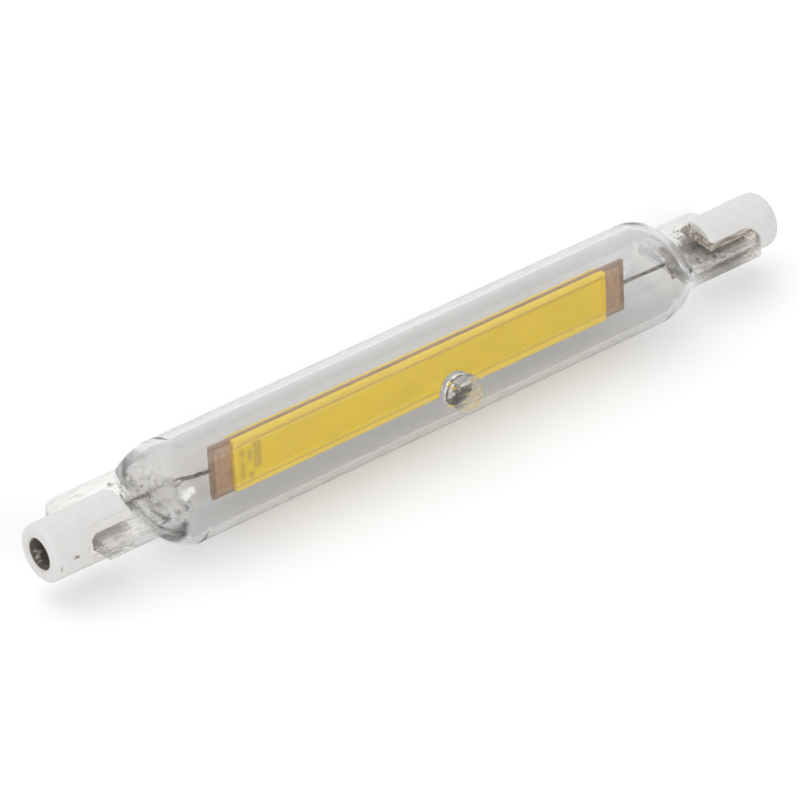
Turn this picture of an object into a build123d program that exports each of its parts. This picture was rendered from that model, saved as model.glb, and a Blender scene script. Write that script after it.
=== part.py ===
from build123d import *
from math import cos, sin, radians
import os

# Double-ended linear LED lamp with a clear glass tube, in millimetres.
# The lamp lies along X with its tube axis on X and the origin at its middle.
# +Z is up, the tube rests on the plane z = -tube_radius, the strip faces -Y.

os.makedirs("parts", exist_ok=True)

# Driving dimensions of the lamp
lamp_length = 118.0
tube_radius = 7.0
wall = 1.0
# The drawn tube's wall is a little uneven, thicker on the side it comes to rest on
bore_rise = 0.04

# Shoulders, where the tube closes down to the flat pressed seal: share of the length, share of the height
shoulder_length = 5.3
shoulder_profile = ((0.0, 1.0), (0.22, 0.975), (0.44, 0.9), (0.64, 0.77), (0.8, 0.6), (0.91, 0.42), (1.0, 0.22))
shoulder_foot = ((1.09, 0.08), (1.2, -0.01))
cavity_depth = 4.5

# Pressed seals
seal_half_width = 5.9
seal_thickness = 2.1
seal_edge_radius = 0.4
seal_root = 4.4
lip_half_width = 5.1
lip_corner_radius = 1.2
lip_edge_radius = 0.8
nose_radius = 0.95
nose_rim_radius = 0.75
nose_lead = 0.5

# Exhaust tip, where the tube was pumped and sealed off
tip_x = 0.5
tip_angle = 12.5
tip_neck_radius = 1.95
tip_neck_height = 0.7
tip_bulge_radius = 2.42
tip_bulge_height = 1.9
tip_shoulder_height = 3.05
tip_height = 3.5
tip_fillet = 0.95
tip_shoulder_radius = 1.5
tip_bore_radius = 0.6
tip_bore_height = 0.5

# Ceramic caps
cap_radius = 3.8
cap_length = 11.7
cap_rim_radius = 0.75
cap_mouth_radius = 0.35
slot_end = 3.3
slot_half_height = 2.8
slot_web = 1.0
recess_radius = 2.05
recess_depth = 2.0
recess_countersink = 0.25
contact_hole_radius = 0.75

# Cement in the caps
cement_flush_start = 5.0
cement_flush_half_height = 1.95
cement_skin = 0.05
mouth_clear = 2.0

# Contacts
contact_radius = 1.8
contact_thickness = 0.6
contact_sink = 0.05
contact_dome_radius = 0.9
contact_dome_height = 0.1
contact_stem_length = 1.1
dimple_radius = 0.28
dimple_floor_radius = 0.1

# Leads and foils
lead_radius = 0.25
foil_thickness = 0.08
foil_width = 2.4
foil_start = 44.8
foil_end = 51.2
weld_overlap = 1.4
lead_offset = 0.15
lead_bend_radius = 1.2
lead_run_out = 0.5
lead_landing_length = 1.5
stem_depth = 0.25
stem_cover = 0.3

# LED strip: the board hangs a little below the axis and droops towards its right end
strip_length = 67.7
strip_width = 7.45
strip_middle_x = 0.75
strip_middle_y = 0.3
strip_middle_z = -0.47
strip_tilt = 5.0
strip_droop = -0.3
board_thickness = 0.5
board_corner_radius = 0.12
terminal_width = 6.4
terminal_thickness = 0.06
terminal_corner_radius = 0.3
via_radius = 0.3
via_spacing = 4.2

# Phosphor coats: a dam round the edge and a shallower pool inside it, with a sloping bank between
coat_width = 7.3
coat_height = 0.7
coat_edge_radius = 0.2
coat_corner_radius = 0.4
pool_depth = 0.4
dam_width = 0.5
bank_width = 0.8

# Chips under the coats
chip_length = 0.75
chip_width = 0.4
chip_height = 0.15
chip_pitch = 1.9
chip_rows = 2
chip_row_spacing = 2.4
chip_margin = 0.6

# Driver parts at the left end of the front face: along, up, length, width of each outline
driver_zone = 6.2
rectifier_height = 0.24
rectifier_outline = ((6.95, 0.45, 1.2, 3.8),)
regulator_height = 0.22
regulator_outlines = ((5.8, 0.7, 0.7, 1.6), (4.7, -1.05, 0.45, 1.9))
resistor_height = 0.2
resistor_outlines = ((5.9, -1.7, 0.8, 0.6), (4.75, 1.35, 0.5, 0.8), (8.1, 0.65, 0.6, 3.6))
package_chamfer = 0.05

# Each end of the lamp. side is its sense along X. The seal stands off the axis by lift and shift and is
# turned by tilt. Its end runs from far on the +Y side to near on the -Y side, in mm outwards from the middle
ends = {
    "left": {
        "side": -1, "shoulder": 38.1, "lift": 0.65, "shift": 0.25, "tilt": 6.0,
        "far": 55.3, "near": 52.4, "far_corner": 2.4, "near_corner": 1.4,
        "lip": 39.2, "nose": 38.4, "lead_shift": 0.3,
        "cap_turn": -3.0, "flush": True, "core": 2.9, "void": 5.1,
        "landing": 0.2, "bare": 3.15, "border": 0.6, "dam": 0.6, "bank": 0.9,
    },
    "right": {
        "side": 1, "shoulder": 37.1, "lift": 0.05, "shift": 0.0, "tilt": 1.5,
        "far": 52.1, "near": 53.7, "far_corner": 1.2, "near_corner": 0.9,
        "lip": 41.0, "nose": 40.8, "lead_shift": -0.6,
        "cap_turn": 13.0, "flush": False, "core": 3.2, "void": 3.6,
        "landing": -0.2, "bare": 3.6, "border": 0.75, "dam": 0.25, "bank": 0.3,
    },
}


def seal_plane(end):
    """Lies in the pressed seal: local x runs outwards along the lamp, local z is its normal."""
    tilt = radians(end["tilt"])
    return Plane(
        origin=(0, end["shift"], end["lift"]),
        x_dir=(end["side"], 0, 0),
        z_dir=(0, -sin(tilt), cos(tilt)),
    )


def strip_plane(along, height):
    """Parallel to the strip's face: along from the strip's middle, height in front of the board's middle."""
    tilt = radians(strip_tilt)
    droop = radians(strip_droop)
    lengthways = Vector(cos(droop), 0, sin(droop))
    normal = lengthways.cross(Vector(0, sin(tilt), cos(tilt))).normalized()
    middle = Vector(strip_middle_x, strip_middle_y, strip_middle_z)
    return Plane(origin=middle + lengthways * along + normal * height, x_dir=lengthways, z_dir=normal)


def slot_plane(end):
    """Through the cap's axis: local x runs outwards along the lamp, local z runs through the slot."""
    turn = radians(end["cap_turn"])
    return Plane(origin=(0, 0, 0), x_dir=(end["side"], 0, 0), z_dir=(0, cos(turn), sin(turn)))


def shoulder_plane(end, step, length):
    """Section across a shoulder, from the round tube at step 0 to the flat seal at step 1."""
    turned = min(step, 1)
    tilt = radians(end["tilt"] * turned)
    x = end["side"] * (end["shoulder"] + step * length)
    return Plane(
        origin=(x, end["shift"] * turned, end["lift"] * turned),
        x_dir=(0, cos(tilt), sin(tilt)),
        z_dir=(1, 0, 0),
    )


def shoulder_half_width(step):
    """Half width of the shoulder at a step."""
    return tube_radius - (tube_radius - seal_half_width) * min(step, 1) ** 2


# Nose and lip of solid glass that reach back from each seal into the tube, round the lead
noses = []
for end in ends.values():
    held_to = end["shoulder"] + seal_root + seal_thickness
    lip_length = held_to - end["lip"]
    with BuildPart() as lip:
        with BuildSketch(seal_plane(end)):
            with Locations((end["lip"] + lip_length / 2, 0)):
                RectangleRounded(lip_length, 2 * lip_half_width, lip_corner_radius)
        extrude(amount=seal_thickness / 2, both=True)
        lip_flats = lip.faces().sort_by(lambda face: -face.area)[:2]
        fillet(lip_flats.edges(), radius=lip_edge_radius)
    with BuildPart() as nose:
        with Locations(seal_plane(end).location):
            with Locations((end["nose"], end["side"] * end["lead_shift"], lead_offset)):
                Cylinder(
                    nose_radius,
                    held_to - end["nose"],
                    rotation=(0, 90, 0),
                    align=(Align.CENTER, Align.CENTER, Align.MIN),
                )
        rim = nose.edges().filter_by(GeomType.CIRCLE).sort_by(lambda edge: abs(edge.center().X))[0]
        fillet(rim, radius=nose_rim_radius)
        add(lip.part)
    noses.append(nose.part)

# Flat pressed seals with rounded edges and corners, each cut off at a slant
seals = []
for end in ends.values():
    side = end["side"]
    root = end["shoulder"] + seal_root
    with BuildPart() as seal:
        with BuildSketch(seal_plane(end)) as seal_outline:
            with BuildLine():
                Polyline(
                    (root, -side * seal_half_width),
                    (end["near"], -side * seal_half_width),
                    (end["far"], side * seal_half_width),
                    (root, side * seal_half_width),
                    close=True,
                )
            make_face()
            end_corners = seal_outline.vertices().sort_by(lambda corner: -abs(corner.X))[:2]
            near_corner, far_corner = end_corners.sort_by(lambda corner: side * corner.Y)
            fillet(far_corner, radius=end["far_corner"])
            fillet(near_corner, radius=end["near_corner"])
        extrude(amount=seal_thickness / 2, both=True)
        seal_flats = seal.faces().sort_by(lambda face: -face.area)[:2]
        fillet(seal_flats.edges(), radius=seal_edge_radius)
    seals.append(seal.part)

# The gas space inside the glass, which the envelope is hollowed with
with BuildPart() as cavity:
    with BuildSketch(Plane.YZ.offset(-ends["left"]["shoulder"])):
        Circle(tube_radius - wall)
    extrude(amount=ends["left"]["shoulder"] + ends["right"]["shoulder"])
    for end in ends.values():
        for step, share in shoulder_profile:
            with BuildSketch(shoulder_plane(end, step, cavity_depth)):
                Ellipse(shoulder_half_width(step) - wall, (tube_radius - wall) * share)
        loft()
    for nose_part in noses:
        add(nose_part, mode=Mode.SUBTRACT)


# Foils and leads, which the glass of the seals closes round
parts_of_end = {}
for name, end in ends.items():
    side = end["side"]
    across = seal_plane(end)
    lead_across = side * end["lead_shift"]

    with BuildPart() as seal_foil:
        with BuildSketch(across):
            with Locations(((foil_start + foil_end) / 2, 0)):
                RectangleRounded(foil_end - foil_start, foil_width, foil_width * 0.2)
        extrude(amount=foil_thickness / 2, both=True)
    seal_foil.part.label = f"seal_foil_{name}"

    # The wire is flat where it is welded to the foil
    with BuildPart() as weld_flat:
        with BuildSketch(across.offset(foil_thickness / 2)):
            with Locations(((foil_start + foil_end) / 2, 0)):
                Rectangle(foil_end - foil_start, foil_width)
        extrude(amount=-lead_radius)

    # Inner lead, from the foil through the nose to the back of the strip's terminal
    landing = strip_plane(0, -(board_thickness / 2 + terminal_thickness + lead_radius))
    strip_end = strip_length / 2
    weld_to = strip_end - end["border"] - lead_landing_length
    inner_route = [
        across.from_local_coords((foil_start + weld_overlap, lead_across, lead_offset)),
        across.from_local_coords((end["nose"] - nose_lead, lead_across, lead_offset)),
        landing.from_local_coords((side * (strip_end + lead_run_out), end["landing"], 0)),
        landing.from_local_coords((side * weld_to, end["landing"], 0)),
    ]
    with BuildPart() as inner_lead:
        with BuildLine() as inner_path:
            FilletPolyline(*inner_route, radius=lead_bend_radius)
        with BuildSketch(Plane(origin=inner_path.line @ 0, z_dir=inner_path.line % 0)):
            Circle(lead_radius)
        sweep()
        add(weld_flat.part, mode=Mode.SUBTRACT)
    inner_lead.part.label = f"inner_lead_{name}"

    # Outer lead, from the foil out of the seal and into the stem of the contact
    contact_floor = lamp_length / 2 - recess_depth - contact_thickness
    outer_route = [
        across.from_local_coords((foil_end - weld_overlap, lead_across, lead_offset)),
        across.from_local_coords(((end["far"] + end["near"]) / 2 + stem_cover, lead_across, lead_offset)),
        (side * (contact_floor - contact_stem_length - stem_depth), 0, 0),
        (side * (contact_floor - stem_cover), 0, 0),
    ]
    with BuildPart() as outer_lead:
        with BuildLine() as outer_path:
            FilletPolyline(*outer_route, radius=lead_radius * 2)
        with BuildSketch(Plane(origin=outer_path.line @ 0, z_dir=outer_path.line % 0)):
            Circle(lead_radius)
        sweep()
        add(weld_flat.part, mode=Mode.SUBTRACT)
    outer_lead.part.label = f"outer_lead_{name}"

    parts_of_end[name] = {
        "seal_foil": seal_foil.part,
        "inner_lead": inner_lead.part,
        "outer_lead": outer_lead.part,
    }

# The glass envelope, one blown piece with two pressed seals and a sealed exhaust tip
tip_up = radians(tip_angle)
tip_direction = Vector(0, -cos(tip_up), sin(tip_up))
tip_foot = Vector(tip_x, 0, 0)
tip_plane = Plane(origin=tip_foot, x_dir=(1, 0, 0), z_dir=tip_direction)
tip_profile_plane = Plane(origin=tip_foot, x_dir=(1, 0, 0), z_dir=Vector(1, 0, 0).cross(tip_direction))
tip_axis = Axis(tip_foot, tip_direction)

with BuildPart() as glass_envelope:
    with BuildSketch(Plane.YZ.offset(-ends["left"]["shoulder"])):
        Circle(tube_radius)
    extrude(amount=ends["left"]["shoulder"] + ends["right"]["shoulder"])
    # The neck of the exhaust tip, blended into the tube
    with BuildSketch(tip_plane.offset(tube_radius - 2 * wall)):
        Circle(tip_neck_radius)
    extrude(amount=2 * wall + tip_height / 2)
    curved_edges = glass_envelope.edges().filter_by(GeomType.BSPLINE)
    foot = curved_edges.sort_by_distance(tip_foot + tip_direction * tube_radius)[0]
    fillet(foot, radius=tip_fillet)
    with BuildSketch(tip_profile_plane):
        with BuildLine():
            top = (0, tube_radius + tip_height)
            widest = (tip_bulge_radius, tube_radius + tip_bulge_height)
            neck = (tip_neck_radius, tube_radius + tip_neck_height)
            Line((0, tube_radius), top)
            shoulder = (tip_shoulder_radius, tube_radius + tip_shoulder_height)
            Spline(top, shoulder, widest, tangents=((1, 0), (0, -1)))
            Spline(widest, neck, tangents=((0, -1), (0, -1)))
            Polyline(neck, (tip_neck_radius, tube_radius), (0, tube_radius))
        make_face()
    revolve(axis=tip_axis)
    for end in ends.values():
        for step, share in shoulder_profile + shoulder_foot:
            with BuildSketch(shoulder_plane(end, step, shoulder_length)):
                Ellipse(
                    shoulder_half_width(step),
                    seal_thickness / 2 + (tube_radius - seal_thickness / 2) * share,
                )
        loft()
    for seal_part in seals:
        add(seal_part)
    add(cavity.part.moved(Location((0, 0, bore_rise))), mode=Mode.SUBTRACT)
    # The bore of the exhaust tip has a round end where the glass closed
    with BuildSketch(tip_profile_plane):
        with BuildLine():
            bore_start = tube_radius - 2 * wall
            bore_end = tube_radius + tip_bore_height
            Polyline(
                (0, bore_end),
                (0, bore_start),
                (tip_bore_radius, bore_start),
                (tip_bore_radius, bore_end - tip_bore_radius),
            )
            JernArc((tip_bore_radius, bore_end - tip_bore_radius), (0, 1), tip_bore_radius, 90)
        make_face()
    revolve(axis=tip_axis, mode=Mode.SUBTRACT)
    for pieces in parts_of_end.values():
        for piece in pieces.values():
            add(piece, mode=Mode.SUBTRACT)
glass_envelope.part.label = "glass_envelope"

export_step(glass_envelope.part, "parts/glass_envelope.step")

for name, end in ends.items():
    side = end["side"]
    pieces = parts_of_end[name]
    outer_x = lamp_length / 2
    contact_floor = outer_x - recess_depth - contact_thickness
    slot_round_x = outer_x - slot_end - slot_half_height
    mouth_x = outer_x - cap_length

    # The U-shaped slot that passes right through the cap, open towards the tube
    with BuildPart() as slot:
        with BuildSketch(slot_plane(end)):
            with Locations(((mouth_x + slot_round_x) / 2, 0)):
                Rectangle(slot_round_x - mouth_x, 2 * slot_half_height)
            with Locations((slot_round_x, 0)):
                Circle(slot_half_height)
        extrude(amount=2 * cap_radius, both=True)

    # Ceramic cap: turned body, recess for the lampholder's contact, hole for the contact's stem
    with BuildPart() as ceramic_cap:
        with BuildSketch(Plane.XY):
            with BuildLine():
                Polyline(
                    (side * mouth_x, 0),
                    (side * mouth_x, cap_radius),
                    (side * outer_x, cap_radius),
                    (side * outer_x, recess_radius + recess_countersink),
                    (side * (outer_x - recess_countersink), recess_radius),
                    (side * (outer_x - recess_depth), recess_radius),
                    (side * (outer_x - recess_depth), contact_radius),
                    (side * contact_floor, contact_radius),
                    (side * contact_floor, contact_hole_radius),
                    (side * (outer_x - slot_end - slot_web), contact_hole_radius),
                    (side * (outer_x - slot_end - slot_web), 0),
                    close=True,
                )
            make_face()
        revolve(axis=Axis.X)
        round_edges = ceramic_cap.edges().filter_by(GeomType.CIRCLE)
        outer_edges = round_edges.filter_by(lambda edge: abs(edge.radius - cap_radius) < 0.01)
        outer_edges = outer_edges.sort_by(lambda edge: abs(edge.center().X))
        fillet(outer_edges[-1], radius=cap_rim_radius)
        fillet(outer_edges[0], radius=cap_mouth_radius)
        add(slot.part, mode=Mode.SUBTRACT)
    ceramic_cap.part.label = f"ceramic_cap_{name}"
    export_step(ceramic_cap.part, f"parts/ceramic_cap_{name}.step")

    # Contact: disc with a raised middle and three dimples, stem through the cap to the lead
    with BuildPart() as contact:
        with BuildSketch(Plane.XY):
            with BuildLine():
                dome_x = contact_floor + contact_thickness - contact_sink
                face_x = dome_x - contact_dome_height
                Polyline(
                    (side * (contact_floor - contact_stem_length), 0),
                    (side * (contact_floor - contact_stem_length), contact_hole_radius),
                    (side * contact_floor, contact_hole_radius),
                    (side * contact_floor, contact_radius),
                    (side * face_x, contact_radius),
                    (side * face_x, contact_dome_radius),
                    (side * dome_x, contact_dome_radius * 0.7),
                    (side * dome_x, 0),
                    close=True,
                )
            make_face()
        revolve(axis=Axis.X)
        with Locations(Plane(origin=(side * face_x, 0, 0), x_dir=(0, 1, 0), z_dir=(side, 0, 0)).location):
            with PolarLocations((contact_dome_radius + contact_radius) / 2, 3):
                Cone(dimple_floor_radius, dimple_radius, dimple_radius, mode=Mode.SUBTRACT)
        add(pieces["outer_lead"], mode=Mode.SUBTRACT)
    contact.part.label = f"contact_{name}"
    export_step(contact.part, f"parts/contact_{name}.step")

    # Cement: fills the core of the slot round the seal, and on the flush side the slot's edges too
    with BuildPart() as cap_cement:
        add(slot.part)
        with BuildSketch(Plane.YZ):
            Circle(cap_radius - cement_skin if end["flush"] else end["core"])
        extrude(amount=side * outer_x, mode=Mode.INTERSECT)
        # Void between the end of the seal and the end of the slot
        with BuildSketch(Plane.YZ.offset(side * (outer_x - end["void"]))):
            Circle(end["core"])
        extrude(amount=side * end["void"], mode=Mode.SUBTRACT)
        if end["flush"]:
            # Opening that shows the seal's wings
            with BuildSketch(slot_plane(end)):
                flush_round_x = outer_x - cement_flush_start - cement_flush_half_height
                with Locations(((mouth_x - mouth_clear + flush_round_x) / 2, 0)):
                    Rectangle(flush_round_x - mouth_x + mouth_clear, 2 * cement_flush_half_height)
                with Locations((flush_round_x, 0)):
                    Circle(cement_flush_half_height)
            opening = extrude(amount=2 * cap_radius, both=True, mode=Mode.PRIVATE)
            with BuildSketch(Plane.YZ):
                Circle(end["core"])
            core = extrude(amount=side * outer_x, mode=Mode.PRIVATE)
            add(opening - core, mode=Mode.SUBTRACT)
        add(glass_envelope.part, mode=Mode.SUBTRACT)
        add(contact.part, mode=Mode.SUBTRACT)
        for piece in pieces.values():
            add(piece, mode=Mode.SUBTRACT)
    cap_cement.part.label = f"cap_cement_{name}"
    export_step(cap_cement.part, f"parts/cap_cement_{name}.step")

    for piece_name, piece in pieces.items():
        export_step(piece, f"parts/{piece_name}_{name}.step")

# Board of the LED strip, with holes that join its terminals on both faces
front = board_thickness / 2
with BuildPart() as strip_board:
    with BuildSketch(strip_plane(0, 0)):
        RectangleRounded(strip_length, strip_width, board_corner_radius)
        for end in ends.values():
            pad_middle = end["side"] * (strip_length - end["border"] - end["bare"]) / 2
            with Locations((pad_middle, 0)):
                with GridLocations(0, via_spacing, 1, 2):
                    Circle(via_radius, mode=Mode.SUBTRACT)
    extrude(amount=front, both=True)
strip_board.part.label = "strip_board"
export_step(strip_board.part, "parts/strip_board.step")

# Terminals: a flat pad on each face of the board, joined through the holes
for name, end in ends.items():
    pad_middle = end["side"] * (strip_length - end["border"] - end["bare"]) / 2
    with BuildPart() as end_terminal:
        for face_side in (1, -1):
            with BuildSketch(strip_plane(pad_middle, face_side * front)):
                RectangleRounded(end["bare"] - end["border"], terminal_width, terminal_corner_radius)
            extrude(amount=face_side * terminal_thickness)
        with BuildSketch(strip_plane(pad_middle, 0)):
            with GridLocations(0, via_spacing, 1, 2):
                Circle(via_radius)
        extrude(amount=front, both=True)
    end_terminal.part.label = f"end_terminal_{name}"
    export_step(end_terminal.part, f"parts/end_terminal_{name}.step")

# Rows of chips on both faces of the board: side 1 is the front, -1 the back
coat_left = ends["left"]["bare"] - strip_length / 2
coat_right = strip_length / 2 - ends["right"]["bare"]
pool_left = coat_left + ends["left"]["dam"] + ends["left"]["bank"]
pool_right = coat_right - ends["right"]["dam"] - ends["right"]["bank"]
chip_groups = {}
for name, face_side, chips_from in (("front", 1, coat_left + driver_zone), ("back", -1, pool_left)):
    chip_count = int((pool_right - chips_from - 2 * chip_margin) / chip_pitch)
    chip_middle = strip_plane((pool_right + chips_from) / 2, face_side * (front + chip_height / 2))
    with BuildPart() as led_chips:
        with Locations(chip_middle.location):
            with GridLocations(chip_pitch, chip_row_spacing, chip_count, chip_rows):
                Box(chip_length, chip_width, chip_height)
    led_chips.part.label = f"led_chips_{name}"
    export_step(led_chips.part, f"parts/led_chips_{name}.step")
    chip_groups[name] = led_chips.part

# Driver parts beside the left terminal; places are from the left end of the strip and its middle line
driver_origin = strip_plane(-strip_length / 2, front)
driver_groups = {}
for name, height, outlines in (
    ("bridge_rectifier", rectifier_height, rectifier_outline),
    ("current_regulators", regulator_height, regulator_outlines),
    ("chip_resistors", resistor_height, resistor_outlines),
):
    with BuildPart() as driver_part:
        with BuildSketch(driver_origin):
            for along, up, length, width in outlines:
                with Locations((along, up)):
                    Rectangle(length, width)
        extrude(amount=height)
        top_faces = driver_part.faces().group_by(Axis(driver_origin.origin, driver_origin.z_dir))[-1]
        chamfer(top_faces.edges(), length=package_chamfer)
    driver_part.part.label = name
    export_step(driver_part.part, f"parts/{name}.step")
    driver_groups[name] = driver_part.part

# Phosphor coats over the chips: a dam all round with a shallower pool inside it
for name, face_side in (("front", 1), ("back", -1)):
    with BuildPart() as phosphor:
        with BuildSketch(strip_plane((coat_left + coat_right) / 2, face_side * front)):
            RectangleRounded(coat_right - coat_left, coat_width, coat_corner_radius)
        extrude(amount=face_side * coat_height)
        coat_flats = phosphor.faces().sort_by(lambda face: -face.area)[:2]
        outer_flat = coat_flats.sort_by(Axis(strip_plane(0, 0).origin, strip_plane(0, 0).z_dir * face_side))[-1]
        fillet(outer_flat.edges(), radius=coat_edge_radius)
        # The pool, from its rim at the dam's top down to its floor
        for share in (0, 1):
            floor_left = coat_left + ends["left"]["dam"] + share * ends["left"]["bank"]
            floor_right = coat_right - ends["right"]["dam"] - share * ends["right"]["bank"]
            height = face_side * (front + coat_height - share * pool_depth)
            with BuildSketch(strip_plane((floor_left + floor_right) / 2, height)):
                RectangleRounded(
                    floor_right - floor_left,
                    coat_width - 2 * (dam_width + share * bank_width),
                    coat_corner_radius,
                )
        loft(mode=Mode.SUBTRACT)
        add(chip_groups[name], mode=Mode.SUBTRACT)
        if face_side > 0:
            for driver_piece in driver_groups.values():
                add(driver_piece, mode=Mode.SUBTRACT)
    phosphor.part.label = f"phosphor_{name}"
    export_step(phosphor.part, f"parts/phosphor_{name}.step")
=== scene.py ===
import bpy
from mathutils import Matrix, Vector


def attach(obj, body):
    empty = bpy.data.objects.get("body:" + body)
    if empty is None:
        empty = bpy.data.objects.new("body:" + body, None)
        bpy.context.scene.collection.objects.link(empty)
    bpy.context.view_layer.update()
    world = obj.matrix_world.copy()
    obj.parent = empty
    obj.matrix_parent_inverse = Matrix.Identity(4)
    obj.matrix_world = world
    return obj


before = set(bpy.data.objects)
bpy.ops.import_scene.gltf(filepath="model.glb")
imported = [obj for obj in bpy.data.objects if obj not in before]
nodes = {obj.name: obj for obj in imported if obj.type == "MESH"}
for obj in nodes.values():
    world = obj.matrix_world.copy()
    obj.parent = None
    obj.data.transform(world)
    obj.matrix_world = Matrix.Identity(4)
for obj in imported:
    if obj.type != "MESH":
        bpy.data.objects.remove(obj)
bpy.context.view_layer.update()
scene = bpy.context.scene
mm = 0.001
print("lamp loaded:", len(nodes), "solids")


# Node helpers
def feed(tree, socket, value):
    if isinstance(value, bpy.types.NodeSocket):
        tree.links.new(value, socket)
    else:
        socket.default_value = value


def addNode(tree, kind, settings=None, inputs=None):
    node = tree.nodes.new(kind)
    for key, value in (settings or {}).items():
        setattr(node, key, value)
    for key, value in (inputs or {}).items():
        feed(tree, node.inputs[key], value)
    return node


def startGroup(name, kind, ins, outs):
    group = bpy.data.node_groups.new(name, kind)
    for label, socketKind, value in ins:
        socket = group.interface.new_socket(label, in_out="INPUT", socket_type=socketKind)
        if value is not None:
            socket.default_value = value
    for label, socketKind in outs:
        group.interface.new_socket(label, in_out="OUTPUT", socket_type=socketKind)
    return group, group.nodes.new("NodeGroupInput").outputs, group.nodes.new("NodeGroupOutput").inputs


def useGroup(tree, group, inputs=None):
    return addNode(tree, "ShaderNodeGroup", {"node_tree": group}, inputs).outputs


def coordinates(tree, label):
    return addNode(tree, "ShaderNodeTexCoord").outputs[label]


def split(tree, vector):
    return addNode(tree, "ShaderNodeSeparateXYZ", None, {"Vector": vector}).outputs


def number(tree, operation, *values):
    return addNode(tree, "ShaderNodeMath", {"operation": operation}, dict(enumerate(values))).outputs[0]


def vector(tree, operation, *values):
    return addNode(tree, "ShaderNodeVectorMath", {"operation": operation}, dict(enumerate(values))).outputs


def between(tree, value, low, high, outLow=0.0, outHigh=1.0):
    node = addNode(tree, "ShaderNodeMapRange", {"interpolation_type": "SMOOTHSTEP", "clamp": True}, {
        "Value": value,
        "From Min": low,
        "From Max": high,
        "To Min": outLow,
        "To Max": outHigh,
    })
    return node.outputs["Result"]


def blendColors(tree, mask, low, high):
    mix = addNode(tree, "ShaderNodeMix", {"data_type": "RGBA"}, {0: mask, 6: low, 7: high})
    return mix.outputs[2]


def startMaterial(name, plain):
    material = bpy.data.materials.new(name)
    material.use_nodes = True
    tree = material.node_tree
    shader = tree.nodes["Principled BSDF"]
    for key, value in plain.items():
        shader.inputs[key].default_value = value
    return material, tree, shader


def paint(tree, shader, look, mask):
    feed(tree, shader.inputs["Base Color"], blendColors(tree, mask, look["base"], look["shade"]))


def roughen(tree, shader, strength, distance, height):
    bump = addNode(tree, "ShaderNodeBump", None, {
        "Strength": strength,
        "Distance": distance,
        "Height": height,
    })
    feed(tree, shader.inputs["Normal"], bump.outputs["Normal"])


def dress(nodeNames, material):
    for nodeName in nodeNames:
        slots = nodes[nodeName].material_slots
        if len(slots) == 0:
            nodes[nodeName].data.materials.append(material)
        for slot in slots:
            slot.material = material


def addSheet(name, corners):
    mesh = bpy.data.meshes.new(name)
    mesh.from_pydata(corners, [], [(0, 1, 2, 3)])
    return mesh


# Camera: a long lens well back from the lamp, looking down on it from the front left
view = {
    "place": (-0.31502, -0.37142, 0.32463),
    "aim": (0.53348, 0.63504, -0.55867),
    "lens": 210.2,
    "sensor": 36,
    "near": 0.02,
    "far": 20,
}
cameraData = bpy.data.cameras.new("photoCamera")
cameraData.lens = view["lens"]
cameraData.sensor_width = view["sensor"]
cameraData.clip_start = view["near"]
cameraData.clip_end = view["far"]
camera = bpy.data.objects.new("photoCamera", cameraData)
camera.location = view["place"]
camera.rotation_mode = "QUATERNION"
camera.rotation_quaternion = Vector(view["aim"]).to_track_quat("-Z", "Y")
scene.collection.objects.link(camera)
scene.camera = camera

# Light: a pale room that is darker behind the camera, a wide soft box above and a smaller one in front
studio = {
    "roomBright": 1.12,
    "roomDim": 0.25,
    "dimSide": (0.45, -0.75, 0.45),
    "dimming": (-0.3, 0.9),
    "floorLevel": -7.0 * mm,
    "floorSize": 3.0,
    "boxes": [
        {"name": "topBox", "place": (0.05, 0.05, 0.80), "size": (1.30, 1.10), "power": 3.8},
        {"name": "frontBox", "place": (-0.15, -0.80, 0.40), "size": (0.50, 0.30), "power": 3.0},
    ],
}
scene.view_settings.view_transform = "Standard"
world = bpy.data.worlds.new("paleRoom")
world.use_nodes = True
tree = world.node_tree
dimSide = Vector(studio["dimSide"]).normalized()
towardsDim = vector(tree, "DOT_PRODUCT", coordinates(tree, "Generated"), dimSide)["Value"]
strength = between(tree, towardsDim, *studio["dimming"], studio["roomBright"], studio["roomDim"])
background = tree.nodes["Background"].inputs
feed(tree, background["Strength"], strength)
feed(tree, background["Color"], (1, 1, 1, 1))
scene.world = world
for box in studio["boxes"]:
    lamp = bpy.data.lights.new(box["name"], "AREA")
    lamp.shape = "RECTANGLE"
    lamp.size, lamp.size_y = box["size"]
    lamp.energy = box["power"]
    lampObject = bpy.data.objects.new(box["name"], lamp)
    lampObject.location = box["place"]
    lampObject.rotation_mode = "QUATERNION"
    lampObject.rotation_quaternion = (-Vector(box["place"])).to_track_quat("-Z", "Y")
    scene.collection.objects.link(lampObject)
print("camera and lights set")

# Grain: speckle of one size in millimetres, stretched along the lamp if asked
grain, given, made = startGroup("surfaceGrain", "ShaderNodeTree", [
    ("Size", "NodeSocketFloat", 0.4),
    ("Stretch", "NodeSocketFloat", 1.0),
    ("Low", "NodeSocketFloat", 0.35),
    ("High", "NodeSocketFloat", 0.65),
    ("Detail", "NodeSocketFloat", 3.0),
], [
    ("Mask", "NodeSocketFloat"),
    ("Height", "NodeSocketFloat"),
])
place = split(grain, coordinates(grain, "Object"))
together = addNode(grain, "ShaderNodeCombineXYZ", None, {
    "X": number(grain, "DIVIDE", place["X"], given["Stretch"]),
    "Y": place["Y"],
    "Z": place["Z"],
})
noise = addNode(grain, "ShaderNodeTexNoise", None, {
    "Vector": together.outputs[0],
    "Scale": number(grain, "DIVIDE", 1 / mm, given["Size"]),
    "Detail": given["Detail"],
}).outputs
feed(grain, made["Mask"], between(grain, noise["Fac"], given["Low"], given["High"]))
feed(grain, made["Height"], noise["Fac"])

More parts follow.
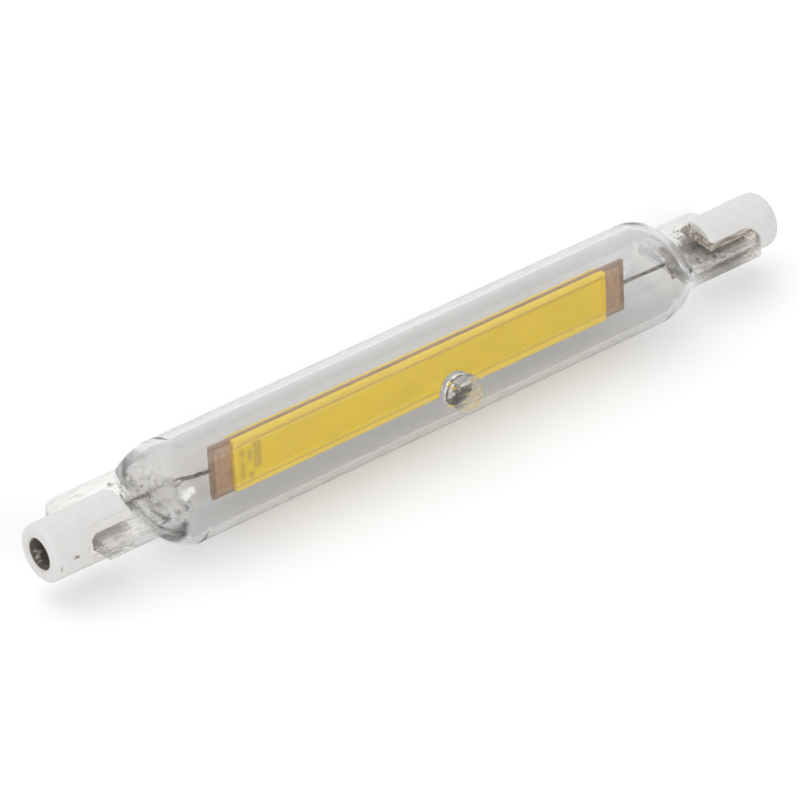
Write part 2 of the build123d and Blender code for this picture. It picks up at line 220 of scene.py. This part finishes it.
# Patch: a box-shaped area round a point, in metres, with a soft and slightly ragged edge
patchNoise = {"Scale": 4000.0, "Detail": 2.0}
patch, given, made = startGroup("softPatch", "ShaderNodeTree", [
    ("Middle", "NodeSocketVector", (0, 0, 0)),
    ("Half", "NodeSocketVector", (1, 1, 1)),
    ("Edge", "NodeSocketFloat", 0.0001),
    ("Ragged", "NodeSocketFloat", 0.0),
], [
    ("Mask", "NodeSocketFloat"),
])
place = coordinates(patch, "Object")
away = vector(patch, "SUBTRACT", place, given["Middle"])["Vector"]
away = vector(patch, "ABSOLUTE", away)["Vector"]
past = split(patch, vector(patch, "SUBTRACT", away, given["Half"])["Vector"])
furthest = number(patch, "MAXIMUM", number(patch, "MAXIMUM", past["X"], past["Y"]), past["Z"])
noise = addNode(patch, "ShaderNodeTexNoise", None, {"Vector": place, **patchNoise}).outputs
ragged = number(patch, "MULTIPLY", number(patch, "SUBTRACT", noise["Fac"], 0.5), given["Ragged"])
furthest = number(patch, "ADD", furthest, ragged)
inner = number(patch, "MULTIPLY", given["Edge"], -1.0)
feed(patch, made["Mask"], between(patch, furthest, inner, given["Edge"], 1.0, 0.0))

# From axis: a point's distance from the tube's axis, and along it from the lamp's middle
fromAxis, given, made = startGroup("fromAxis", "ShaderNodeTree", [], [
    ("Distance", "NodeSocketFloat"),
    ("Along", "NodeSocketFloat"),
])
place = split(fromAxis, coordinates(fromAxis, "Object"))
squares = number(fromAxis, "MULTIPLY", place["Y"], place["Y"])
squares = number(fromAxis, "ADD", squares, number(fromAxis, "MULTIPLY", place["Z"], place["Z"]))
feed(fromAxis, made["Distance"], number(fromAxis, "SQRT", squares))
feed(fromAxis, made["Along"], number(fromAxis, "ABSOLUTE", place["X"]))
print("shared effects built")

# Clear glass: smooth on the tube, streaky and a little frosted where the ends were pressed
glassLook = {
    "plain": {"Transmission Weight": 0.97, "Roughness": 0.0, "IOR": 1.42},
    "tint": (0.755, 0.75, 0.745, 1),
    "pressedTint": (0.88, 0.875, 0.865, 1),
    "streakTint": (0.72, 0.685, 0.64, 1),
    "streaks": {"Size": 0.45, "Stretch": 7.0, "Low": 0.45, "High": 0.62, "Detail": 3.0},
    "streakShare": 0.6,
    "lumps": {"Size": 1.3, "Stretch": 1.5, "Low": 0.3, "High": 0.7, "Detail": 1.0},
    "waveHeight": 0.34 * mm,
    "pressedAt": (0.0400, 0.0432),
    "pressedRoughness": 0.03,
    "pressedClear": 0.25,
    "pinchedAt": (0.0410, 0.0420),
    "edgeFacing": (0.35, 0.75),
    "edgeRoughness": 0.22,
    "edgeClear": 0.5,
    "tipFront": (-7.6 * mm, -7.1 * mm),
    "tipWidth": (3.5 * mm, 4.5 * mm),
    "tipWave": 1.8,
    "tipClear": 0.55,
    "cast": (0.90, 0.90, 0.90, 1),
}
glass, tree, shader = startMaterial("clearGlass", glassLook["plain"])
place = split(tree, coordinates(tree, "Object"))
along = useGroup(tree, fromAxis)["Along"]
pressed = between(tree, along, *glassLook["pressedAt"])
pinched = between(tree, along, *glassLook["pinchedAt"])
inFront = between(tree, place["Y"], *glassLook["tipFront"], 1.0, 0.0)
tipped = number(tree, "MULTIPLY", inFront, between(tree, along, *glassLook["tipWidth"], 1.0, 0.0))
streaks = useGroup(tree, grain, glassLook["streaks"])
lumps = useGroup(tree, grain, glassLook["lumps"])
pressedColor = blendColors(tree, streaks["Mask"], glassLook["pressedTint"], glassLook["streakTint"])
feed(tree, shader.inputs["Base Color"], blendColors(tree, pressed, glassLook["tint"], pressedColor))
# The presses' narrow sides are frosted, and more of what is behind them shows through
facing = split(tree, coordinates(tree, "Normal"))
onEdge = between(tree, number(tree, "ABSOLUTE", facing["Z"]), *glassLook["edgeFacing"], 1.0, 0.0)
frost = number(tree, "MULTIPLY", number(tree, "MULTIPLY", onEdge, pinched), glassLook["edgeRoughness"])
frost = number(tree, "MAXIMUM", frost, number(tree, "MULTIPLY", pressed, glassLook["pressedRoughness"]))
feed(tree, shader.inputs["Roughness"], frost)
clear = number(tree, "MULTIPLY_ADD", onEdge, glassLook["edgeClear"], glassLook["pressedClear"])
clear = number(tree, "MULTIPLY", pinched, clear)
clear = number(tree, "MAXIMUM", clear, number(tree, "MULTIPLY", tipped, glassLook["tipClear"]))
feed(tree, shader.inputs["Alpha"], number(tree, "SUBTRACT", 1.0, clear))
height = number(tree, "MULTIPLY", streaks["Height"], glassLook["streakShare"])
height = number(tree, "ADD", height, lumps["Height"])
height = number(tree, "MULTIPLY", height, number(tree, "MULTIPLY_ADD", tipped, glassLook["tipWave"], pressed))
roughen(tree, shader, 1.0, glassLook["waveHeight"], height)
# Light that shines straight through the thin wall reaches the strip and the floor
through = addNode(tree, "ShaderNodeBsdfTransparent", None, {"Color": glassLook["cast"]})
lit = addNode(tree, "ShaderNodeMixShader", None, {
    0: addNode(tree, "ShaderNodeLightPath").outputs["Is Shadow Ray"],
    1: shader.outputs[0],
    2: through.outputs[0],
})
feed(tree, tree.nodes["Material Output"].inputs["Surface"], lit.outputs[0])
dress(["glass_envelope"], glass)

# Ceramic: matt white and faintly mottled, with the near cap's scuffs, and the recesses' walls darkened with
# painted shade and grime
ceramicLook = {
    "plain": {"Roughness": 0.6, "Specular IOR Level": 0.35},
    "base": (0.67, 0.66, 0.65, 1),
    "shade": (0.645, 0.635, 0.62, 1),
    "mottle": {"Size": 1.2, "Stretch": 1.0, "Low": 0.35, "High": 0.7, "Detail": 4.0},
    "dirt": (0.20, 0.15, 0.11, 1),
    "scuffs": [
        {
            "middle": (-56.1, -3.78, 0.37),
            "half": (0.38, 0.5, 0.16),
            "edge": 0.16,
            "ragged": 0.7,
            "share": 1.0,
        },
        {
            "middle": (-58.35, -3.6, -0.3),
            "half": (0.06, 0.6, 0.34),
            "edge": 0.09,
            "ragged": 0.5,
            "share": 0.7,
        },
    ],
    # Painted shade and grime: a dark colour with lighter flecks on the recess walls, standing in for the
    # shade deep in each recess
    "recess": (0.15, 0.13, 0.11, 1),
    "fleck": (0.62, 0.58, 0.52, 1),
    "flecks": {"Size": 0.7, "Stretch": 2.0, "Low": 0.5, "High": 0.68, "Detail": 2.0},
    "recessWall": (2.04 * mm, 2.14 * mm),
    "recessFloor": (56.0 * mm, 56.3 * mm),
    "fine": {"Size": 0.12, "Stretch": 1.0, "Low": 0.3, "High": 0.7, "Detail": 3.0},
    "bump": (0.5, 0.00002),
}
ceramic, tree, shader = startMaterial("whiteCeramic", ceramicLook["plain"])
mottle = useGroup(tree, grain, ceramicLook["mottle"])
color = blendColors(tree, mottle["Mask"], ceramicLook["base"], ceramicLook["shade"])
for scuff in ceramicLook["scuffs"]:
    mark = useGroup(tree, patch, {
        "Middle": [v * mm for v in scuff["middle"]],
        "Half": [v * mm for v in scuff["half"]],
        "Edge": scuff["edge"] * mm,
        "Ragged": scuff["ragged"] * mm,
    })
    share = number(tree, "MULTIPLY", mark["Mask"], scuff["share"])
    color = blendColors(tree, share, color, ceramicLook["dirt"])
place = useGroup(tree, fromAxis)
# Painted shade and grime on the recess walls, past the floor of each recess
recessShadeAndGrime = between(tree, place["Distance"], *ceramicLook["recessWall"], 1.0, 0.0)
recessShadeAndGrime = number(tree, "MULTIPLY", recessShadeAndGrime, between(tree, place["Along"], *ceramicLook["recessFloor"]))
flecks = useGroup(tree, grain, ceramicLook["flecks"])
shadeAndGrimeColor = blendColors(tree, flecks["Mask"], ceramicLook["recess"], ceramicLook["fleck"])
feed(tree, shader.inputs["Base Color"], blendColors(tree, recessShadeAndGrime, color, shadeAndGrimeColor))
roughen(tree, shader, *ceramicLook["bump"], useGroup(tree, grain, ceramicLook["fine"])["Height"])
dress(["ceramic_cap_left", "ceramic_cap_right"], ceramic)

# Cement: white and smooth where it fills the near slot, brown and streaky in the far one, and lighter deep in
# the slots as painted light against their shade
cementPlain = {"Roughness": 0.85, "Specular IOR Level": 0.25}
cementSkin = (3.5 * mm, 3.7 * mm)
cementGrain = {"Size": 0.15, "Stretch": 1.0, "Low": 0.3, "High": 0.7, "Detail": 5.0}
cementLooks = {
    "cap_cement_left": {
        "name": "whiteCement",
        "paintedLightDeep": (0.88, 0.86, 0.83, 1),
        "base": (0.67, 0.655, 0.64, 1),
        "shade": (0.60, 0.57, 0.54, 1),
        "streaks": {"Size": 0.5, "Stretch": 4.0, "Low": 0.50, "High": 0.80, "Detail": 5.0},
        "bump": 0.00004,
    },
    "cap_cement_right": {
        "name": "brownCement",
        "paintedLightDeep": (0.70, 0.65, 0.59, 1),
        "base": (0.60, 0.55, 0.49, 1),
        "shade": (0.30, 0.25, 0.21, 1),
        "streaks": {"Size": 0.5, "Stretch": 4.0, "Low": 0.35, "High": 0.65, "Detail": 5.0},
        "bump": 0.00012,
    },
}
for nodeName, look in cementLooks.items():
    cement, tree, shader = startMaterial(look["name"], cementPlain)
    streaks = useGroup(tree, grain, look["streaks"])
    # Painted light: inside the skin radius the cement is made lighter, to lift the shade deep in the slots
    skin = between(tree, useGroup(tree, fromAxis)["Distance"], *cementSkin)
    outer = blendColors(tree, skin, look["paintedLightDeep"], look["base"])
    feed(tree, shader.inputs["Base Color"], blendColors(tree, streaks["Mask"], outer, look["shade"]))
    roughen(tree, shader, 1.0, look["bump"], useGroup(tree, grain, cementGrain)["Height"])
    dress([nodeName], cement)

# Metals: contacts, leads, foils, board and terminals
metalBump = (0.4, 0.00002)
metalGrain = {"Low": 0.4, "High": 0.7, "Detail": 4.0}
tarnishAt = (0.2, 0.8)
metalLooks = {
    "dullContact": {
        "nodes": ["contact_left", "contact_right"],
        "base": (0.34, 0.31, 0.28, 1),
        "shade": (0.08, 0.07, 0.06, 1),
        "rough": (0.27, 0.47),
        "grain": {"Size": 0.5, "Stretch": 1.0},
    },
    "darkWire": {
        "nodes": ["outer_lead_left", "outer_lead_right", "inner_lead_left", "inner_lead_right"],
        "base": (0.30, 0.28, 0.27, 1),
        "shade": (0.10, 0.09, 0.09, 1),
        "rough": (0.27, 0.47),
        "grain": {"Size": 0.3, "Stretch": 4.0},
    },
    "greyFoil": {
        "nodes": ["seal_foil_left", "seal_foil_right"],
        "base": (0.42, 0.41, 0.40, 1),
        "shade": (0.28, 0.26, 0.24, 1),
        "rough": (0.32, 0.52),
        "grain": {"Size": 0.6, "Stretch": 5.0},
    },
    "copperBoard": {
        "nodes": ["strip_board"],
        "base": (0.50, 0.34, 0.22, 1),
        "shade": (0.38, 0.25, 0.16, 1),
        "rough": (0.37, 0.57),
        "grain": {"Size": 0.5, "Stretch": 6.0},
    },
    "copperTerminal": {
        "nodes": ["end_terminal_left", "end_terminal_right"],
        "base": (0.70, 0.47, 0.30, 1),
        "shade": (0.60, 0.39, 0.25, 1),
        "rough": (0.42, 0.62),
        "grain": {"Size": 0.7, "Stretch": 1.0},
    },
}
for name, look in metalLooks.items():
    metal, tree, shader = startMaterial(name, {"Metallic": 0.85})
    tarnish = useGroup(tree, grain, {**look["grain"], **metalGrain})
    paint(tree, shader, look, tarnish["Mask"])
    feed(tree, shader.inputs["Roughness"], between(tree, tarnish["Height"], *tarnishAt, *look["rough"]))
    roughen(tree, shader, *metalBump, tarnish["Height"])
    dress(look["nodes"], metal)

# Phosphor: yellow silicone, and the driver parts show through it as brown patches
phosphorLook = {
    "plain": {"Roughness": 0.22, "Coat Weight": 0.3, "Coat Roughness": 0.08},
    "base": (0.98, 0.69, 0.004, 1),
    "shade": (0.93, 0.65, 0.004, 1),
    "cloud": {"Size": 2.5, "Stretch": 3.0, "Low": 0.35, "High": 0.7, "Detail": 3.0},
    "under": (0.40, 0.26, 0.07, 1),
    "underShare": 0.45,
    "underPatches": [
        {"middle": (-26.15, -4.0, 0.05), "half": (0.6, 4.2, 1.9)},
        {"middle": (-27.3, -4.0, 0.3), "half": (0.35, 4.2, 0.8)},
        {"middle": (-28.4, -4.0, -1.55), "half": (0.22, 4.2, 1.1)},
        {"middle": (-27.2, -4.0, -2.5), "half": (0.4, 4.2, 0.4)},
        {"middle": (-28.35, -4.0, 0.95), "half": (0.25, 4.2, 0.4)},
    ],
    "underEdge": 0.12 * mm,
    "underRagged": 0.1 * mm,
    # Painted shade along the pool's banks
    "line": (0.60, 0.40, 0.01, 1),
    "lineAt": 2.75 * mm,
    "lineWidth": (0.05 * mm, 0.16 * mm),
    "lineShare": 0.75,
    "stripMiddle": (0.75, 0.3, -0.47),
    "stripTilt": -0.0873,
    "bump": (0.3, 0.00003),
}
phosphor, tree, shader = startMaterial("yellowPhosphor", phosphorLook["plain"])
cloud = useGroup(tree, grain, phosphorLook["cloud"])
color = blendColors(tree, cloud["Mask"], phosphorLook["base"], phosphorLook["shade"])
for under in phosphorLook["underPatches"]:
    mark = useGroup(tree, patch, {
        "Middle": [v * mm for v in under["middle"]],
        "Half": [v * mm for v in under["half"]],
        "Edge": phosphorLook["underEdge"],
        "Ragged": phosphorLook["underRagged"],
    })
    share = number(tree, "MULTIPLY", mark["Mask"], phosphorLook["underShare"])
    color = blendColors(tree, share, color, phosphorLook["under"])
# Painted shade: a darker line runs along both sides of the pool, where the sloping bank meets the dam and the
# dam's inner wall is in shade
turned = addNode(tree, "ShaderNodeMapping", {"vector_type": "TEXTURE"}, {
    "Vector": coordinates(tree, "Object"),
    "Location": [v * mm for v in phosphorLook["stripMiddle"]],
    "Rotation": (phosphorLook["stripTilt"], 0, 0),
})
fromMiddle = number(tree, "ABSOLUTE", split(tree, turned.outputs[0])["Z"])
fromLine = number(tree, "ABSOLUTE", number(tree, "SUBTRACT", fromMiddle, phosphorLook["lineAt"]))
line = between(tree, fromLine, *phosphorLook["lineWidth"], phosphorLook["lineShare"], 0.0)
feed(tree, shader.inputs["Base Color"], blendColors(tree, line, color, phosphorLook["line"]))
roughen(tree, shader, *phosphorLook["bump"], cloud["Height"])
dress(["phosphor_front", "phosphor_back"], phosphor)

# Chips and driver parts under the coats
partGrain = {"Size": 0.2, "Stretch": 1.0, "Low": 0.4, "High": 0.6, "Detail": 3.0}
partLooks = {
    "blueChip": {
        "nodes": ["led_chips_front", "led_chips_back"],
        "base": (0.55, 0.62, 0.70, 1),
        "shade": (0.35, 0.42, 0.52, 1),
        "rough": 0.2,
    },
    "darkPackage": {
        "nodes": ["bridge_rectifier", "current_regulators", "chip_resistors"],
        "base": (0.05, 0.045, 0.04, 1),
        "shade": (0.09, 0.08, 0.07, 1),
        "rough": 0.6,
    },
}
for name, look in partLooks.items():
    part, tree, shader = startMaterial(name, {"Roughness": look["rough"]})
    paint(tree, shader, look, useGroup(tree, grain, partGrain)["Mask"])
    dress(look["nodes"], part)
print("finishes given to the solids")

# Sprinkle: small round grains strewn over a surface, within a depth on each side of it
sprinkle, given, made = startGroup("sprinkle", "GeometryNodeTree", [
    ("Surface", "NodeSocketGeometry", None),
    ("PerSquareMetre", "NodeSocketFloat", 1.0),
    ("Depth", "NodeSocketVector", (0, 0, 0)),
    ("Smallest", "NodeSocketFloat", 0.0001),
    ("Largest", "NodeSocketFloat", 0.0002),
    ("Fineness", "NodeSocketInt", 1),
    ("Seed", "NodeSocketInt", 0),
    ("Finish", "NodeSocketMaterial", None),
], [
    ("Grains", "NodeSocketGeometry"),
])
joined = addNode(sprinkle, "GeometryNodeMergeByDistance", None, {
    "Geometry": given["Surface"],
    "Distance": 0.001 * mm,
})
points = addNode(sprinkle, "GeometryNodeDistributePointsOnFaces", {"distribute_method": "RANDOM"}, {
    "Mesh": joined.outputs[0],
    "Density": given["PerSquareMetre"],
    "Seed": given["Seed"],
})
opposite = addNode(sprinkle, "ShaderNodeVectorMath", {"operation": "SCALE"}, {
    "Vector": given["Depth"],
    "Scale": -1.0,
})
apart = addNode(sprinkle, "FunctionNodeRandomValue", {"data_type": "FLOAT_VECTOR"}, {
    0: opposite.outputs[0],
    1: given["Depth"],
    "Seed": given["Seed"],
})
strewn = addNode(sprinkle, "GeometryNodeSetPosition", None, {
    "Geometry": points.outputs["Points"],
    "Offset": apart.outputs[0],
})
sizes = addNode(sprinkle, "FunctionNodeRandomValue", {"data_type": "FLOAT"}, {
    2: given["Smallest"],
    3: given["Largest"],
    "Seed": given["Seed"],
})
ball = addNode(sprinkle, "GeometryNodeMeshIcoSphere", None, {
    "Radius": 1.0,
    "Subdivisions": given["Fineness"],
})
grains = addNode(sprinkle, "GeometryNodeInstanceOnPoints", None, {
    "Points": strewn.outputs[0],
    "Instance": ball.outputs[0],
    "Scale": sizes.outputs[1],
})
real = addNode(sprinkle, "GeometryNodeRealizeInstances", None, {"Geometry": grains.outputs[0]})
finished = addNode(sprinkle, "GeometryNodeSetMaterial", None, {
    "Geometry": real.outputs[0],
    "Material": given["Finish"],
})
feed(sprinkle, made["Grains"], finished.outputs[0])
sprinkleInputs = [item for item in sprinkle.interface.items_tree if item.in_out == "INPUT"]
sprinkleSockets = {item.name: item.identifier for item in sprinkleInputs}


def strew(name, surface, values):
    piece = bpy.data.objects.new(name, surface)
    scene.collection.objects.link(piece)
    modifier = piece.modifiers.new("sprinkle", "NODES")
    modifier.node_group = sprinkle
    for label, value in values.items():
        modifier[sprinkleSockets[label]] = value
    grown = bpy.data.meshes.new_from_object(piece.evaluated_get(bpy.context.evaluated_depsgraph_get()))
    piece.modifiers.clear()
    piece.data = grown
    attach(piece, "root")
    print(name, len(grown.polygons), "faces")


# Seed bubbles caught in the glass of both presses
bubbleLook = {
    "base": (0.34, 0.32, 0.30, 1),
    "shade": (0.06, 0.055, 0.05, 1),
    "grain": {"Size": 0.4, "Stretch": 1.0, "Low": 0.4, "High": 0.6, "Detail": 1.0},
}
bubbleFinish, tree, shader = startMaterial("seedBubble", {"Metallic": 0.3, "Roughness": 0.08})
paint(tree, shader, bubbleLook, useGroup(tree, grain, bubbleLook["grain"])["Mask"])
bubbles = {
    "left": {"from": -45.5, "to": -39.8, "middle": (0.25, 0.65), "halfWidth": 4.6, "rise": 0.105, "seed": 7},
    "right": {"from": 41.6, "to": 48.5, "middle": (0.0, 0.05), "halfWidth": 4.6, "rise": 0.026, "seed": 12},
}
for name, press in bubbles.items():
    y, z = press["middle"]
    reach = press["halfWidth"]
    lift = reach * press["rise"]
    corners = [
        (press["from"], y - reach, z - lift),
        (press["to"], y - reach, z - lift),
        (press["to"], y + reach, z + lift),
        (press["from"], y + reach, z + lift),
    ]
    sheet = addSheet("bubbleSheet_" + name, [[v * mm for v in corner] for corner in corners])
    strew("seedBubbles_" + name, sheet, {
        "PerSquareMetre": 1.1e6,
        "Depth": (0, 0, 0.6 * mm),
        "Smallest": 0.06 * mm,
        "Largest": 0.24 * mm,
        "Fineness": 2,
        "Seed": press["seed"],
        "Finish": bubbleFinish,
    })

# Grit that stands out of the far cap's cement
gritLook = {
    "base": (0.62, 0.58, 0.53, 1),
    "shade": (0.25, 0.20, 0.16, 1),
    "grain": {"Size": 0.3, "Stretch": 1.0, "Low": 0.42, "High": 0.58, "Detail": 1.0},
}
gritFinish, tree, shader = startMaterial("brownGrit", {"Roughness": 0.35})
paint(tree, shader, gritLook, useGroup(tree, grain, gritLook["grain"])["Mask"])
strew("cementGrit", nodes["cap_cement_right"].data.copy(), {
    "PerSquareMetre": 5.0e6,
    "Depth": (0.03 * mm, 0.03 * mm, 0.03 * mm),
    "Smallest": 0.05 * mm,
    "Largest": 0.11 * mm,
    "Fineness": 1,
    "Seed": 3,
    "Finish": gritFinish,
})
print("bubbles and grit strewn")

# Floor
paperLook = {
    "base": (0.94, 0.94, 0.94, 1),
    "shade": (0.93, 0.93, 0.93, 1),
    "grain": {"Size": 30.0, "Stretch": 1.0, "Low": 0.3, "High": 0.7, "Detail": 2.0},
}
half = studio["floorSize"] / 2
level = studio["floorLevel"]
floorMesh = addSheet("paleFloor", [
    (-half, -half, level),
    (half, -half, level),
    (half, half, level),
    (-half, half, level),
])
floor = bpy.data.objects.new("paleFloor", floorMesh)
scene.collection.objects.link(floor)
paper, tree, shader = startMaterial("palePaper", {"Roughness": 0.9, "Specular IOR Level": 0.1})
paint(tree, shader, paperLook, useGroup(tree, grain, paperLook["grain"])["Mask"])
floorMesh.materials.append(paper)
print("floor laid")
